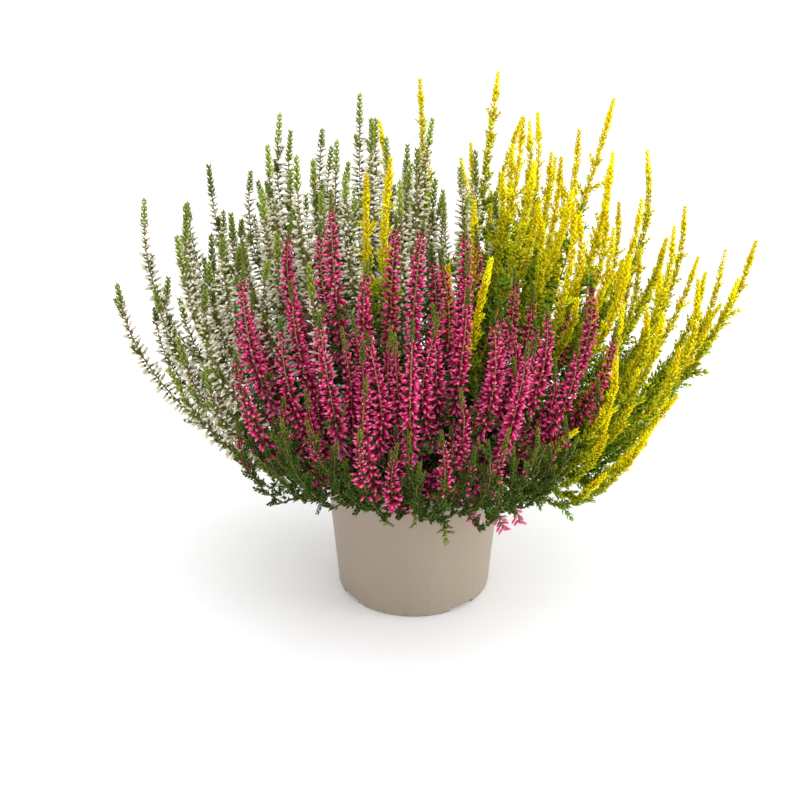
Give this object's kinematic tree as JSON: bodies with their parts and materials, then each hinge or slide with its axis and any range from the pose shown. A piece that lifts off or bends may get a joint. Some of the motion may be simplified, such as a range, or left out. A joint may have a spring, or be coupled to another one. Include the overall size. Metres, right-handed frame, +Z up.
{
  "type": "potted heather",
  "caption": "Tapered taupe pot of compost with bushy mixed heather: upright white and magenta bud spikes, yellow leafy spikes and green shoots trailing over the rim.",
  "frame": {"origin": "on the floor at the pot's axis, in the middle of the flat face under the base", "axes": "+Z up; -Y is the front that the picture shows; +X points to the yellow side and is the widest way across the foliage; Y is the narrowest way"},
  "size_m": [0.4, 0.3197, 0.3386],
  "materials": {
    "pot": "matt",
    "compost": "rough",
    "white_heather": "matt",
    "magenta_heather": "matt",
    "yellow_heather": "matt",
    "green_shoots": "matt"
  },
  "bodies": {
    "root": {"white_bunch_1": "white_heather", "white_bunch_2": "white_heather", "white_bunch_3": "white_heather", "white_bunch_4": "white_heather", "white_bunch_5": "white_heather", "white_bunch_6": "white_heather", "white_bunch_7": "white_heather", "white_bunch_8": "white_heather", "white_bunch_9": "white_heather", "white_bunch_10": "white_heather", "white_bunch_11": "white_heather", "white_bunch_12": "white_heather", "white_bunch_13": "white_heather", "white_bunch_14": "white_heather", "white_bunch_15": "white_heather", "white_bunch_16": "white_heather", "white_bunch_17": "white_heather", "magenta_bunch_1": "magenta_heather", "magenta_bunch_2": "magenta_heather", "magenta_bunch_3": "magenta_heather", "magenta_bunch_4": "magenta_heather", "magenta_bunch_5": "magenta_heather", "magenta_bunch_6": "magenta_heather", "magenta_bunch_7": "magenta_heather", "magenta_bunch_8": "magenta_heather", "magenta_bunch_9": "magenta_heather", "magenta_bunch_10": "magenta_heather", "magenta_bunch_11": "magenta_heather", "magenta_bunch_12": "magenta_heather", "magenta_bunch_13": "magenta_heather", "magenta_bunch_14": "magenta_heather", "magenta_bunch_15": "magenta_heather", "yellow_bunch_1": "yellow_heather", "yellow_bunch_2": "yellow_heather", "yellow_bunch_3": "yellow_heather", "yellow_bunch_4": "yellow_heather", "yellow_bunch_5": "yellow_heather", "yellow_bunch_6": "yellow_heather", "yellow_bunch_7": "yellow_heather", "yellow_bunch_8": "yellow_heather", "yellow_bunch_9": "yellow_heather", "yellow_bunch_10": "yellow_heather", "yellow_bunch_11": "yellow_heather", "yellow_bunch_12": "yellow_heather", "yellow_bunch_13": "yellow_heather", "yellow_bunch_14": "yellow_heather", "yellow_bunch_15": "yellow_heather", "yellow_bunch_16": "yellow_heather", "trailing_shoots_1": "green_shoots", "trailing_shoots_2": "green_shoots", "trailing_shoots_3": "green_shoots", "trailing_shoots_4": "green_shoots", "trailing_shoots_5": "green_shoots", "trailing_shoots_6": "green_shoots", "trailing_shoots_7": "green_shoots", "trailing_shoots_8": "green_shoots", "trailing_shoots_9": "green_shoots", "compost": "compost", "pot": "pot"}
  },
  "joints": []
}
